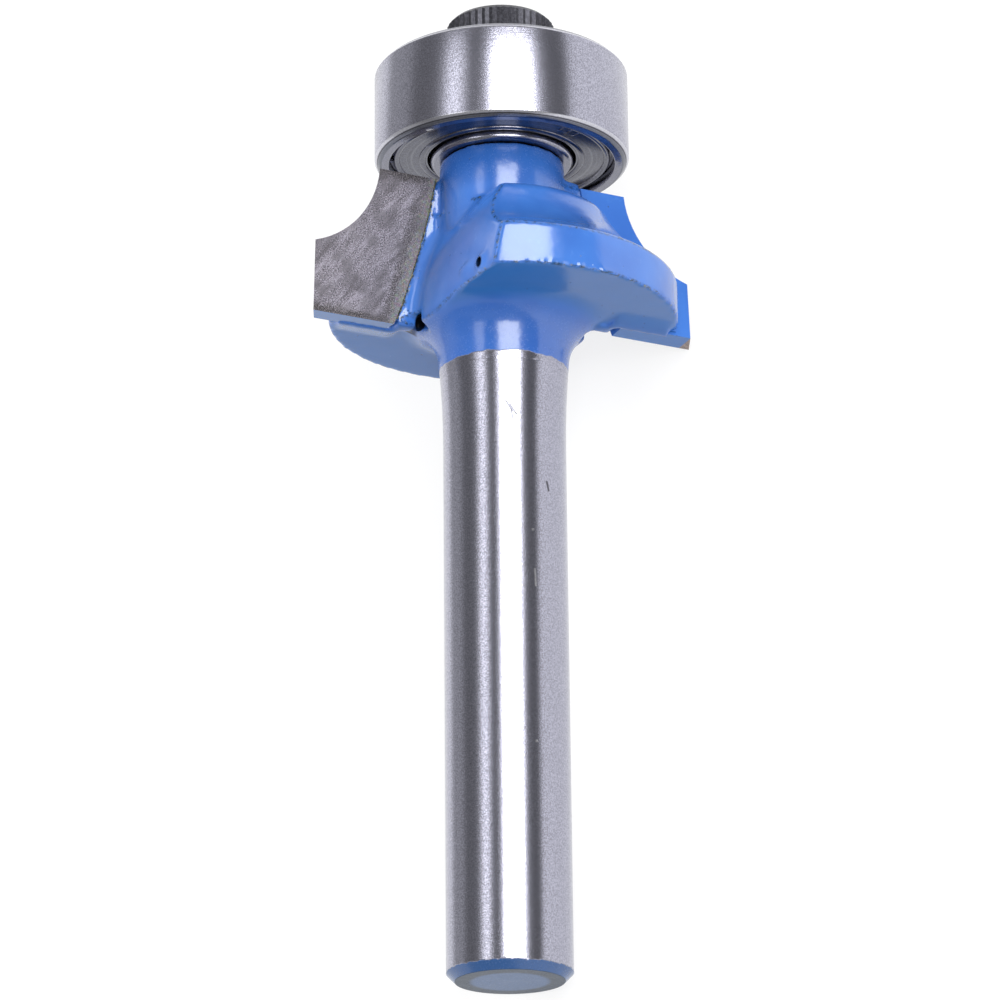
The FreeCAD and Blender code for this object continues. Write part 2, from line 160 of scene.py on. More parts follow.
# The stage. Lamps and cards: angle round the bit from the camera's side, lift towards its head,
# and then in metres distance, width and length, with a lamp's power or a card's brightness
stage_middle = (0, 0, 30)
main_lamp = (9.9, 0.0, 0.40, 0.262, 0.56, 2.7)
side_lamp = (-41.5, 0.0, 0.40, 0.105, 0.56, 0.30)
fill_lamp = (-95.0, 10.0, 0.45, 0.40, 0.40, 2.3)
dark_cards = (
    ("card_left", (-71.0, 0.0, 0.44, 0.24, 0.9, 0.22)),
    ("card_far_left", (-126.0, 0.0, 0.50, 0.64, 0.9, 0.5)),
    ("card_middle", (-22.0, 0.0, 0.46, 0.12, 0.9, 0.13)),
    ("card_right", (49.0, 0.0, 0.44, 0.20, 0.9, 0.16)),
)
world_diffuse = 0.34
world_glossy = 0.42
floor_glow = 0.8
camera_place = (0, -201.754, -46.025)
camera_right = (0.999947, 0.004477, -0.009298)
camera_ahead = (-0.001187, 0.944899, 0.327359)


def from_bit(point):
    """A place given about the bit's own axis, in the frame's metres."""
    return shank_end + TO_BIT.transposed() @ Vector(point) * MM


# Small tools that the finishes are made with


def new_material(name):
    """An empty node material."""
    material = bpy.data.materials.new(name)
    material.use_nodes = True
    material.node_tree.nodes.clear()
    return material


def add(tree, kind, values=None, **settings):
    """A shader node with its settings, and each named socket set or linked."""
    made = tree.nodes.new("ShaderNode" + kind)
    for name, value in settings.items():
        setattr(made, name, value)
    for name, value in (values or {}).items():
        socket = made.inputs[name]
        if isinstance(value, bpy.types.NodeSocket):
            tree.links.new(value, socket)
        else:
            socket.default_value = value
    return made


def calc(tree, operation, first, second=0.0, clamp=False):
    return add(tree, "Math", {0: first, 1: second}, operation=operation, use_clamp=clamp).outputs[0]


def times(tree, first, second):
    return calc(tree, "MULTIPLY", first, second)


def rest_of(tree, share):
    """What a share leaves of 1."""
    return calc(tree, "SUBTRACT", 1.0, share)


def blend(tree, share, first, second):
    """One colour turning into another as the share goes from 0 to 1."""
    made = add(tree, "Mix", {0: share, 6: first, 7: second}, data_type="RGBA")
    return made.outputs[2]


def slide(tree, share, first, second):
    """One number turning into another as the share goes from 0 to 1."""
    return add(tree, "Mix", {0: share, 2: first, 3: second}, data_type="FLOAT").outputs[0]


def step(tree, value, low, high):
    """0 below the low value and 1 above the high one, smooth in between."""
    made = add(tree, "MapRange", {0: value, 1: low, 2: high}, interpolation_type="SMOOTHSTEP")
    return made.outputs[0]


def grain(tree, place, scale, detail, rough):
    """Cloudy grain about 0.5; its scale is in repeats per millimetre."""
    values = {"Vector": place, "Scale": scale, "Detail": detail, "Roughness": rough}
    return add(tree, "TexNoise", values).outputs[0]


def turned_place(tree, vector, rotation, shift):
    made = add(tree, "Mapping", {0: vector}, vector_type="POINT")
    made.inputs["Rotation"].default_value = rotation.to_euler("XYZ")
    made.inputs["Location"].default_value = shift
    return made.outputs[0]


def bit_place(tree):
    """The place on the bit in millimetres: x and y across its axis, z from the shank's end."""
    here = add(tree, "TexCoord").outputs["Object"]
    made = add(tree, "Mapping", {0: here}, vector_type="POINT")
    made.inputs["Scale"].default_value = (1 / MM,) * 3
    made.inputs["Rotation"].default_value = TO_BIT.to_euler("XYZ")
    made.inputs["Location"].default_value = -(TO_BIT @ shank_end) / MM
    return made.outputs[0]


def tip_place(tree, place, turn):
    """The place seen from a tip: x outwards, y out of its cutting face, z along its edge."""
    about_axis = Matrix.Rotation(math.radians(-tip_direction - turn), 3, "Z")
    lean = Matrix.Rotation(math.radians(shear_angle), 3, "X")
    start = Vector((0, -face_behind_axis, shear_height))
    return turned_place(tree, place, lean @ about_axis, -(lean @ start))


def split(tree, vector):
    return add(tree, "SeparateXYZ", {0: vector}).outputs


def radius_of(tree, place):
    x, y, _ = split(tree, place)
    return calc(tree, "SQRT", calc(tree, "ADD", times(tree, x, x), times(tree, y, y)))


def stretched(tree, place, scales):
    """A place with each of its directions stretched, for grain that runs along lines."""
    parts = [times(tree, value, scale) for value, scale in zip(split(tree, place), scales)]
    return add(tree, "CombineXYZ", dict(enumerate(parts))).outputs[0]


def facing(tree, direction):
    """How a face stands to a direction: 1 straight at it and -1 straight away from it."""
    normal = add(tree, "NewGeometry").outputs["Normal"]
    return add(tree, "VectorMath", {0: normal, 1: tuple(direction)}, operation="DOT_PRODUCT").outputs["Value"]


def box_of(tree, place, low, high, soft):
    """1 inside a box and 0 outside it, with a soft border."""
    share = 1.0
    for value, start, end in zip(split(tree, place), low, high):
        inside = times(tree, step(tree, value, start, start + soft), step(tree, value, end, end - soft))
        share = times(tree, inside, share)
    return share


def scratch(tree, place, ends, width):
    """1 on a thin straight mark on the camera's side of the shank, between its two ends."""
    (x1, z1), (x2, z2) = ends
    length = math.hypot(x2 - x1, z2 - z1)
    x, y, z = split(tree, place)
    dx, dz = calc(tree, "SUBTRACT", x, x1), calc(tree, "SUBTRACT", z, z1)
    ux, uz = (x2 - x1) / length, (z2 - z1) / length
    along = calc(tree, "ADD", times(tree, dx, ux), times(tree, dz, uz))
    offset = calc(tree, "SUBTRACT", times(tree, dx, uz), times(tree, dz, ux))
    across = calc(tree, "ABSOLUTE", offset)
    inside = times(tree, calc(tree, "GREATER_THAN", along, 0.0), calc(tree, "LESS_THAN", along, length))
    inside = times(tree, inside, calc(tree, "LESS_THAN", y, 0.0))
    return times(tree, inside, step(tree, across, width, width * 0.5))


def flecks(tree, place, scale, size, share):
    """Round specks of one size, in a share of the cells of a scattered grid."""
    cells = add(tree, "TexVoronoi", {"Vector": place, "Scale": scale, "Randomness": 1.0})
    near = rest_of(tree, step(tree, cells.outputs["Distance"], size * 0.5 * scale, size * scale))
    pick = split(tree, cells.outputs["Color"])[0]
    return times(tree, near, calc(tree, "LESS_THAN", pick, share))


def worn_edges(tree, width, low, high):
    """1 on sharp edges, outer and inner ones, and 0 on even faces."""
    soft = add(tree, "Bevel", {"Radius": width * MM}, samples=6).outputs[0]
    flat = add(tree, "NewGeometry").outputs["Normal"]
    along = add(tree, "VectorMath", {0: soft, 1: flat}, operation="DOT_PRODUCT").outputs["Value"]
    return step(tree, rest_of(tree, along), low, high)


def bump(tree, height, depth):
    return add(tree, "Bump", {"Height": height, "Distance": depth * MM, "Strength": 1.0}).outputs[0]


def finish(tree, values):
    shader = add(tree, "BsdfPrincipled", values)
    add(tree, "OutputMaterial", {"Surface": shader.outputs[0]})


def metal_look(tree, place, colour, rough, speckle):
    """Colour, roughness and bump height of ground steel with its fine sparkle."""
    fine = grain(tree, place, 14.0, 3.0, 0.75)
    spread = step(tree, fine, 0.38, 0.62)
    dark = tuple(value * (1 - speckle) for value in colour[:3]) + (1,)
    light = tuple(min(value * (1 + speckle), 1) for value in colour[:3]) + (1,)
    shade = blend(tree, spread, dark, light)
    roughness = slide(tree, spread, rough * 1.25, rough * 0.8)
    return shade, roughness, fine


def enamel_look(tree, place, settings):
    """Colour and bump height of the blue enamel, with pits, dust and uneven thickness, and painted shade on faces
    that look down the bit.
    """
    wide = grain(tree, place, 0.35, 2.0, 0.5)
    base = blend(tree, step(tree, wide, 0.3, 0.7), settings.enamel_deep, settings.enamel_light)
    cloud = grain(tree, place, 2.2, 4.0, 0.65)
    base = blend(tree, times(tree, step(tree, cloud, 0.55, 0.8), 0.35), base, settings.enamel_pale)
    facing_up = facing(tree, bit_along)
    # Painted shade: faces that look down the bit, under the cutter, turn to a darker blue for the shade there; it
    # is no dust.
    under = step(tree, facing_up, -0.80, -0.99)
    base = blend(tree, times(tree, under, 0.85), base, settings.enamel_underside_shade)
    pits = flecks(tree, place, 1.9, 0.055, 0.3)
    dust = flecks(tree, place, 1.4, 0.05, 0.12)
    base = blend(tree, times(tree, dust, 0.6), base, dust_colour)
    base = blend(tree, times(tree, pits, 0.8), base, speck_blue)
    return base, pits, cloud


class RouterBitColours(bpy.types.PropertyGroup):
    """Colours that a user would change."""

    enamel_light: bpy.props.FloatVectorProperty(
        name="Enamel", description="Blue enamel where it is thick and even",
        subtype="COLOR", size=4, min=0, max=1, default=(0.042, 0.148, 0.480, 1))
    enamel_deep: bpy.props.FloatVectorProperty(
        name="Enamel, deep", description="Blue enamel where it has pooled",
        subtype="COLOR", size=4, min=0, max=1, default=(0.031, 0.115, 0.410, 1))
    enamel_pale: bpy.props.FloatVectorProperty(
        name="Enamel, pale", description="Blue enamel where it is thin or dusty",
        subtype="COLOR", size=4, min=0, max=1, default=(0.080, 0.210, 0.530, 1))
    # Painted shade: a darker blue for faces that look down the bit, standing in for the shade under the cutter
    # rather than for dust.
    enamel_underside_shade: bpy.props.FloatVectorProperty(
        name="Enamel, dusty", description="Blue enamel on the underside of the cutter, dulled by dust",
        subtype="COLOR", size=4, min=0, max=1, default=(0.022, 0.112, 0.320, 1))
    steel: bpy.props.FloatVectorProperty(
        name="Ground steel", description="Bare steel of the shank and of the bearing",
        subtype="COLOR", size=4, min=0, max=1, default=(0.405, 0.405, 0.485, 1))
    carbide: bpy.props.FloatVectorProperty(
        name="Carbide", description="Ground faces of the cutting tips",
        subtype="COLOR", size=4, min=0, max=1, default=(0.195, 0.180, 0.205, 1))
    braze: bpy.props.FloatVectorProperty(
        name="Braze", description="Braze between the tips and the steel",
        subtype="COLOR", size=4, min=0, max=1, default=(0.22, 0.20, 0.12, 1))
    oxide: bpy.props.FloatVectorProperty(
        name="Black oxide", description="Finish of the screw",
        subtype="COLOR", size=4, min=0, max=1, default=(0.085, 0.085, 0.103, 1))


class RouterBitSizes(bpy.types.PropertyGroup):
    """Sizes that a user would change, along the bit's axis from its shank's end."""

    enamel_start: bpy.props.FloatProperty(
        name="Enamel starts", description="Height on the shank where the enamel begins, in millimetres",
        default=30.5, min=20, max=33)
    enamel_end: bpy.props.FloatProperty(
        name="Enamel ends", description="Height on the neck where the enamel stops, in millimetres",
        default=41.45, min=39, max=46)
    camera_focal: bpy.props.FloatProperty(
        name="Camera focal length", description="Focal length of the camera in millimetres",
        default=158.22, min=20, max=400)
    floor_size: bpy.props.FloatProperty(
        name="Floor", description="Width of the floor", unit="LENGTH", default=6.0, min=1, max=20)


def colours():
    return bpy.context.scene.router_bit_colours


def sizes():
    return bpy.context.scene.router_bit_sizes


def enamelled_steel():
    """The body: bare ground shank, blue enamel on the cutter and on the shank end's bevel."""
    material = new_material("enamelled_steel")
    tree = material.node_tree
    hue = colours()
    place = bit_place(tree)
    height = split(tree, place)[2]
    radius = radius_of(tree, place)
    wave = times(tree, calc(tree, "SUBTRACT", grain(tree, place, 0.7, 3.0, 0.6), 0.5), 0.5)
    line = calc(tree, "ADD", height, wave)
    start = sizes().enamel_start
    head = step(tree, line, start - 0.03, start + 0.03)
    head = times(tree, head, calc(tree, "LESS_THAN", height, sizes().enamel_end))
    ragged = times(tree, calc(tree, "SUBTRACT", grain(tree, place, 2.0, 3.0, 0.7), 0.5), 0.25)
    foot = rest_of(tree, step(tree, calc(tree, "ADD", height, ragged), 0.40, 0.46))
    enamel = calc(tree, "MAXIMUM", head, foot, clamp=True)

    blue, pits, cloud = enamel_look(tree, place, hue)
    edge = add(tree, "Attribute", attribute_name="edge_wear").outputs["Fac"]
    broken = step(tree, grain(tree, place, 5.0, 4.0, 0.7), 0.42, 0.62)
    chipped = times(tree, times(tree, step(tree, edge, 0.25, 0.7), broken), head)
    rusty = step(tree, grain(tree, place, 4.0, 3.0, 0.6), 0.54, 0.66)
    grime = blend(tree, rusty, edge_soot, edge_rust)
    blue = blend(tree, times(tree, chipped, 0.9), blue, grime)
    # Painted shade: the notch beside the second tip's foot is painted near black, for the shade inside it.
    notch_shade = box_of(tree, tip_place(tree, place, 180), *notch_shade_box, 0.10)
    blue = blend(tree, notch_shade, blue, hole_shade_black)
    # Painted shade: the pit in the gullet wall is painted near black inside, fading out towards its rim, for the
    # shade in it.
    hole = add(tree, "VectorMath", {0: place, 1: pit_place}, operation="DISTANCE").outputs["Value"]
    pit_shade = step(tree, hole, 0.36, 0.24)
    blue = blend(tree, pit_shade, blue, hole_shade_black)
    end_face = calc(tree, "LESS_THAN", height, 0.02)
    # Painted shade: the flare and fillet below the disc turn towards a deeper blue, for the shade under the cutter.
    deep = times(tree, step(tree, height, 33.1, 32.5), 0.6)
    blue = blend(tree, deep, blue, fillet_shade_blue)
    # Painted shade: the top of the neck, just below the bearing, turns to a deeper blue for the shade under the
    # bearing.
    neck_shade = times(tree, step(tree, height, 39.0, 39.9), 0.5)
    blue = blend(tree, neck_shade, blue, neck_shade_blue)
    # Painted shade: the enamel on the bevel at the shank's foot is darkened, for the shade on that end.
    blue = blend(tree, step(tree, height, 1.2, 0.9), blue, foot_shade_blue)
    # The shank's end face: dull grey-blue, lighter in the middle and darker at the border, with its colours
    # darkened as painted shade because the end looks away from the lamps.
    border = step(tree, radius, 1.7, 2.0)
    shaded_end = blend(tree, border, end_middle_shaded, end_border_shaded)
    blue = blend(tree, times(tree, end_face, step(tree, radius, 2.75, 2.55)), blue, shaded_end)

    shade, rough, fine = metal_look(tree, place, hue.steel, 0.18, 0.22)
    lines = grain(tree, stretched(tree, place, (0.6, 0.6, 26.0)), 1.0, 2.0, 0.6)
    shade = blend(tree, times(tree, step(tree, lines, 0.55, 0.75), 0.25), shade, line_grey)
    specks = flecks(tree, place, 1.1, 0.05, 0.12)
    shade = blend(tree, times(tree, specks, 0.7), shade, speck_grey)

    for ends, width, tone in scratches:
        mark = scratch(tree, place, ends, width)
        shade = blend(tree, times(tree, mark, 0.85), shade, tone)

    colour = blend(tree, enamel, shade, blue)
    metallic = rest_of(tree, enamel)
    sparkle = step(tree, grain(tree, place, 9.0, 3.0, 0.8), 0.52, 0.58)
    dry = calc(tree, "MAXIMUM", step(tree, height, 39.0, 39.6), step(tree, height, 32.9, 32.5))
    dry_speckle = times(tree, dry, times(tree, sparkle, 0.11))
    gloss = calc(tree, "ADD", slide(tree, cloud, 0.13, 0.2), dry_speckle)
    roughness = slide(tree, enamel, rough, gloss)
    steel_height = calc(tree, "ADD", times(tree, fine, 0.5), times(tree, lines, 0.5))
    waves = times(tree, grain(tree, place, 0.9, 2.0, 0.5), 2.5)
    enamel_height = calc(tree, "SUBTRACT", waves, times(tree, pits, 2.0))
    thick = calc(tree, "ADD", enamel_height, 4.0)
    level = slide(tree, enamel, steel_height, thick)
    normal = bump(tree, level, 0.008)
    facing_up = facing(tree, bit_along)
    mirror = slide(tree, step(tree, facing_up, -0.5, -0.95), 0.5, 0.15)
    matt = calc(tree, "MAXIMUM", end_face, calc(tree, "MAXIMUM", notch_shade, pit_shade))
    mirror = slide(tree, matt, mirror, 0.02)
    finish(tree, {
        "Base Color": colour, "Metallic": metallic, "Roughness": roughness, "Normal": normal, "IOR": 1.8,
        "Specular IOR Level": mirror,
    })
    return material


def ground_carbide(index):
    """A tip: bare ground face and flank, blue enamel on its back, top and bottom."""
    material = new_material(f"ground_carbide_{index + 1}")
    tree = material.node_tree
    hue = colours()
    place = bit_place(tree)
    tip = tip_place(tree, place, index * 180)
    x, y, z = split(tree, tip)
    height = split(tree, place)[2]
    salt = grain(tree, tip, 15.0, 4.0, 0.8)
    coarse = grain(tree, tip, 1.1, 4.0, 0.65)
    base = hue.carbide
    dark = tuple(value * 0.30 for value in base[:3]) + (1,)
    light = tuple(min(value * 1.9, 1) for value in base[:3]) + (1,)
    bare = blend(tree, step(tree, salt, 0.42, 0.60), dark, light)
    bare = blend(tree, times(tree, step(tree, coarse, 0.50, 0.62), 0.5), bare, carbide_light)
    slanted = turned_place(tree, tip, Matrix.Rotation(math.radians(38), 3, "Y"), (0, 0, 0))
    marks = grain(tree, stretched(tree, slanted, (2.4, 1.0, 0.5)), 1.0, 3.0, 0.6)
    bare = blend(tree, times(tree, step(tree, marks, 0.52, 0.64), 0.55), bare, carbide_streak_dark)
    bare = blend(tree, times(tree, step(tree, marks, 0.47, 0.36), 0.36), bare, carbide_streak_pale)
    inner_edge = calc(tree, "SUBTRACT", tip_inner_mid, times(tree, z, tip_inner_lean))
    from_inner = calc(tree, "SUBTRACT", x, inner_edge)
    ragged = times(tree, calc(tree, "SUBTRACT", grain(tree, tip, 2.0, 5.0, 0.75), 0.5), 1.6)
    from_inner = calc(tree, "ADD", from_inner, ragged)
    from_bottom = calc(tree, "ADD", calc(tree, "SUBTRACT", height, tip_bottom), ragged)
    from_top = calc(tree, "ADD", calc(tree, "SUBTRACT", tip_top, height), ragged)
    rim = calc(tree, "MINIMUM", from_inner, calc(tree, "MINIMUM", from_bottom, from_top))
    grime = rest_of(tree, step(tree, rim, 0.1, 0.55))
    beside = rest_of(tree, step(tree, from_inner, 0.45, 0.85))
    beside = times(tree, beside, slide(tree, step(tree, height, 40.0, 37.0), 0.35, 0.75))
    grime = calc(tree, "MAXIMUM", grime, beside)
    sooty = blend(tree, step(tree, salt, 0.46, 0.66), carbide_soot, carbide_salt)
    bare = blend(tree, times(tree, grime, 0.9), bare, sooty)
    spots = add(tree, "TexNoise", {"Vector": tip, "Scale": 6.0, "Detail": 3.0}).outputs[1]
    near_braze = rest_of(tree, step(tree, from_inner, 0.05, 0.45))
    bare = blend(tree, times(tree, near_braze, 0.22), bare, spots)
    wide = grain(tree, tip, 0.55, 3.0, 0.6)
    bare = blend(tree, times(tree, step(tree, wide, 0.50, 0.60), 0.45), bare, carbide_cloud)
    blue, pits, _ = enamel_look(tree, place, hue)
    behind = step(tree, times(tree, y, -1.0), tip_thickness - 0.03, tip_thickness - 0.01)
    low = calc(tree, "LESS_THAN", height, tip_bottom + 0.16)
    ends = calc(tree, "GREATER_THAN", calc(tree, "ABSOLUTE", facing(tree, bit_along)), 0.9)
    turn = math.radians(tip_direction + index * 180)
    inwards = -(TO_BIT.transposed() @ Vector((math.cos(turn), math.sin(turn), 0)))
    inner = step(tree, facing(tree, inwards), 0.6, 0.8)
    enamel = calc(tree, "MAXIMUM", behind, calc(tree, "MAXIMUM", ends, inner), clamp=True)
    worn = times(tree, low, step(tree, x, 8.95, 9.05))
    brown = blend(tree, step(tree, salt, 0.4, 0.6), (0.10, 0.07, 0.06, 1), (0.26, 0.19, 0.17, 1))
    colour = blend(tree, enamel, bare, blue)
    if index == 0:
        colour = blend(tree, times(tree, worn, ends), colour, brown)
    shown = rest_of(tree, enamel)
    metallic = times(tree, shown, 0.4)
    roughness = slide(tree, enamel, 0.5, 0.17)
    level = slide(tree, enamel, times(tree, salt, 1.4), rest_of(tree, pits))
    normal = bump(tree, level, 0.012)
    finish(tree, {
        "Base Color": colour, "Metallic": metallic, "Roughness": roughness, "Normal": normal, "IOR": 1.5,
    })
    return material


def rough_braze(index):
    """Bare braze where it shows beside the cutting face, enamel over it everywhere else."""
    material = new_material(f"rough_braze_{index + 1}")
    tree = material.node_tree
    place = bit_place(tree)
    base = colours().braze
    fine = grain(tree, place, 6.0, 4.0, 0.8)
    tone = blend(tree, step(tree, fine, 0.46, 0.64), (0.020, 0.022, 0.018, 1), tuple(base))
    green = step(tree, grain(tree, place, 2.6, 3.0, 0.6), 0.52, 0.66)
    tone = blend(tree, times(tree, green, 0.5), tone, (0.20, 0.27, 0.13, 1))
    turn = math.radians(tip_direction + index * 180)
    out_of_face = TO_BIT.transposed() @ Vector((-math.sin(turn), math.cos(turn), 0))
    bare = step(tree, facing(tree, out_of_face), 0.5, 0.8)
    blue, _, _ = enamel_look(tree, place, colours())
    tone = blend(tree, bare, blue, tone)
    normal = bump(tree, fine, 0.02)
    finish(tree, {
        "Base Color": tone, "Metallic": times(tree, bare, 0.6), "Roughness": slide(tree, bare, 0.2, 0.5),
        "Normal": normal,
    })
    return material


def ring_steel(name, rough, speckle, tint=1.0):
    """Ground bearing steel with fine lines round the axis, with painted shade on faces that look down and a painted
    highlight and shade on the outer edges' chamfers.
    """
    material = new_material(name)
    tree = material.node_tree
    place = bit_place(tree)
    base = tuple(min(value * tint, 1) for value in colours().steel[:3]) + (1,)
    shade, roughness, fine = metal_look(tree, place, base, rough, speckle)
    height = split(tree, place)[2]
    lines = grain(tree, stretched(tree, place, (0.5, 0.5, 22.0)), 1.0, 3.0, 0.6)
    dark = tuple(value * 0.6 for value in base[:3]) + (1,)
    shade = blend(tree, times(tree, step(tree, lines, 0.54, 0.72), 0.3), shade, dark)
    specks = flecks(tree, place, 0.9, 0.05, 0.1)
    shade = blend(tree, times(tree, specks, 0.6), shade, (0.08, 0.08, 0.09, 1))
    facing_up = facing(tree, bit_along)
    under = step(tree, facing_up, -0.3, -0.9)
    radius = radius_of(tree, place)
    rings = add(tree, "CombineXYZ", {0: times(tree, radius, 5.0)}).outputs[0]
    circles = step(tree, grain(tree, rings, 1.0, 2.0, 0.7), 0.52, 0.66)
    # Painted shade: faces that look down the bit are darkened, for the shade under the bearing.
    shade = blend(tree, times(tree, under, 0.5), shade, (0.055, 0.06, 0.075, 1))
    shade = blend(tree, times(tree, under, times(tree, circles, 0.6)), shade, (0.22, 0.225, 0.25, 1))
    from_low = calc(tree, "SUBTRACT", height, bearing_low)
    from_end = calc(tree, "MINIMUM", from_low, calc(tree, "SUBTRACT", bearing_high, height))
    at_edge = calc(tree, "GREATER_THAN", radius, edge_start)
    # Painted highlight: a pale band on the upper part of each outer chamfer, for the light it catches.
    chamfer_highlight = times(tree, step(tree, from_end, 0.16, 0.18), step(tree, from_end, 0.29, 0.27))
    chamfer_highlight = times(tree, chamfer_highlight, at_edge)
    shade = blend(tree, times(tree, chamfer_highlight, 0.4), shade, (0.95, 0.95, 1.0, 1))
    # Painted shade: a dark line across each outer chamfer and a darker strip next to the ring's face, for the shade
    # on the chamfer's rounding.
    chamfer_shade_line = times(tree, step(tree, from_end, 0.10, 0.12), step(tree, from_end, 0.16, 0.14))
    chamfer_shade_line = times(tree, chamfer_shade_line, at_edge)
    shade = blend(tree, times(tree, chamfer_shade_line, 0.85), shade, (0.03, 0.03, 0.035, 1))
    shadow_side = times(tree, step(tree, from_end, 0.12, 0.08), at_edge)
    shade = blend(tree, times(tree, shadow_side, 0.6), shade, (0.08, 0.09, 0.11, 1))
    roughness = slide(tree, under, roughness, 0.16)
    level = calc(tree, "ADD", times(tree, fine, 0.5), times(tree, lines, 0.5))
    normal = bump(tree, level, 0.006)
    finish(tree, {"Base Color": shade, "Metallic": 1.0, "Roughness": roughness, "Normal": normal})
    return material


def black_oxide():
    """The screw's finish, rubbed to grey along its edges and its knurl."""
    material = new_material("black_oxide")
    tree = material.node_tree
    place = bit_place(tree)
    base = tuple(colours().oxide)
    fine = grain(tree, place, 8.0, 4.0, 0.7)
    tone = blend(tree, step(tree, fine, 0.4, 0.65), tuple(value * 0.5 for value in base[:3]) + (1,), base)
    edge = worn_edges(tree, 0.05, 0.03, 0.2)
    rubbed = times(tree, edge, step(tree, grain(tree, place, 3.0, 3.0, 0.6), 0.35, 0.6))
    tone = blend(tree, times(tree, rubbed, 0.6), tone, rubbed_oxide)
    roughness = slide(tree, fine, 0.3, 0.5)
    normal = bump(tree, fine, 0.008)
    finish(tree, {"Base Color": tone, "Metallic": 0.75, "Roughness": roughness, "Normal": normal})
    return material


def only(piece):
    """Selects one object and nothing else."""
    bpy.ops.object.select_all(action="DESELECT")
    bpy.context.view_layer.objects.active = piece
    piece.select_set(True)


def apply_all(piece):
    only(piece)
    for modifier in list(piece.modifiers):
        bpy.ops.object.modifier_apply(modifier=modifier.name)


def copy_of(node, name):
    """A new piece with a solid's mesh, its loose triangles joined up."""
    made = bpy.data.objects.new(name, frame["nodes"][node].data.copy())
    bpy.context.scene.collection.objects.link(made)
    only(made)
    bpy.ops.object.mode_set(mode="EDIT")
    bpy.ops.mesh.select_all(action="SELECT")
    bpy.ops.mesh.remove_doubles(threshold=0.002 * MM)
    bpy.ops.object.mode_set(mode="OBJECT")
    bpy.ops.mesh.customdata_custom_splitnormals_clear()
    return made


def keep_part(piece, height, above):
    """Cuts a piece across the bit's axis and keeps what lies above or below, with the cut closed."""
    only(piece)
    bpy.ops.object.mode_set(mode="EDIT")
    bpy.ops.mesh.select_all(action="SELECT")
    bpy.ops.mesh.bisect(
        plane_co=from_bit((0, 0, height)), plane_no=bit_along,
        use_fill=True, clear_inner=above, clear_outer=not above)
    bpy.ops.object.mode_set(mode="OBJECT")


def sharp_points(piece, least_angle, spacing):
    """Points along every edge of a piece that turns by more than the least angle."""
    mesh = bmesh.new()
    mesh.from_mesh(piece.data)
    points = []
    for edge in mesh.edges:
        if len(edge.link_faces) == 2 and edge.calc_face_angle() > math.radians(least_angle):
            start, end = (vert.co for vert in edge.verts)
            count = max(1, round((end - start).length / (spacing * MM)))
            points.extend(start.lerp(end, index / count) for index in range(count))
    mesh.free()
    return points


def lay_at(piece, place, turn=0.0):
    """Turns a shape made about the bit's own axis, in metres, and moves it to its place."""
    piece.data.transform(Matrix.Rotation(math.radians(turn), 4, "Z"))
    piece.data.transform(TO_BIT.transposed().to_4x4())
    piece.data.transform(Matrix.Translation(from_bit(place)))


def lay_beside_tip(piece, turn):
    """Moves a shape made in millimetres beside a tip that points along x to the real tip."""
    piece.data.transform(Matrix.Rotation(math.radians(tip_direction + turn), 4, "Z"))
    piece.data.transform(Matrix.Scale(MM, 4))
    piece.data.transform(TO_BIT.transposed().to_4x4())
    piece.data.transform(Matrix.Translation(shank_end))


def combine(piece, other, operation):
    """Adds a closed shape to a piece, or takes it away."""
    made = piece.modifiers.new("combine", "BOOLEAN")
    made.operation = operation
    made.object = other
    made.solver = "EXACT"
    apply_all(piece)
    bpy.data.objects.remove(other)


def join_to(piece, addition):
    """Makes a new shape part of a piece; the remesh that follows fuses the two."""
    bpy.ops.object.select_all(action="DESELECT")
    addition.select_set(True)
    piece.select_set(True)
    bpy.context.view_layer.objects.active = piece
    bpy.ops.object.join()


def blob(piece, place, radii, turn, operation):
    """Adds an egg shape to a piece or takes it away; its first radius points along the turn."""
    bpy.ops.object.select_all(action="DESELECT")
    bpy.ops.mesh.primitive_uv_sphere_add(segments=24, ring_count=16, radius=1)
    egg = bpy.context.object
    egg.data.transform(Matrix.Diagonal(Vector(radii) * MM).to_4x4())
    lay_at(egg, place, turn)
    combine(piece, egg, operation)


def add_drops(piece):
    """Small beads of enamel that gathered along the lower rim of the disc before it dried."""
    seeded = random.Random(7)
    for _ in range(drop_count):
        turn = math.radians(seeded.uniform(-86, 8))
        rim = disc_radius - seeded.uniform(0.0, 0.06)
        place = (rim * math.cos(turn), rim * math.sin(turn), disc_low + seeded.uniform(0.0, 0.05))
        size = seeded.uniform(0.05, 0.11)
        bpy.ops.object.select_all(action="DESELECT")
        bpy.ops.mesh.primitive_uv_sphere_add(
            segments=12, ring_count=8, radius=size * MM, location=from_bit(place))
        join_to(piece, bpy.context.object)


def add_ramp(piece, turn):
    """Enamel that fills the low step between a tip's lower end and the disc behind it."""
    bpy.ops.object.select_all(action="DESELECT")
    bpy.ops.mesh.primitive_cylinder_add(vertices=96, radius=ramp_radius, depth=0.55)
    ramp = bpy.context.object
    ramp.data.transform(Matrix.Translation((0, 0, disc_low)))
    only(ramp)
    lean = math.radians(ramp_slope)
    cuts = (
        ((0, ramp_front, 0), (0, 1, 0)),
        ((ramp_start, 0, 0), (-1, 0, 0)),
        ((0, ramp_back, tip_bottom + 0.01), (0, -math.sin(lean), -math.cos(lean))))
    bpy.ops.object.mode_set(mode="EDIT")
    for place, outwards in cuts:
        bpy.ops.mesh.select_all(action="SELECT")
        bpy.ops.mesh.bisect(plane_co=place, plane_no=outwards, use_fill=True, clear_outer=True)
    bpy.ops.object.mode_set(mode="OBJECT")
    lay_beside_tip(ramp, turn)
    join_to(piece, ramp)


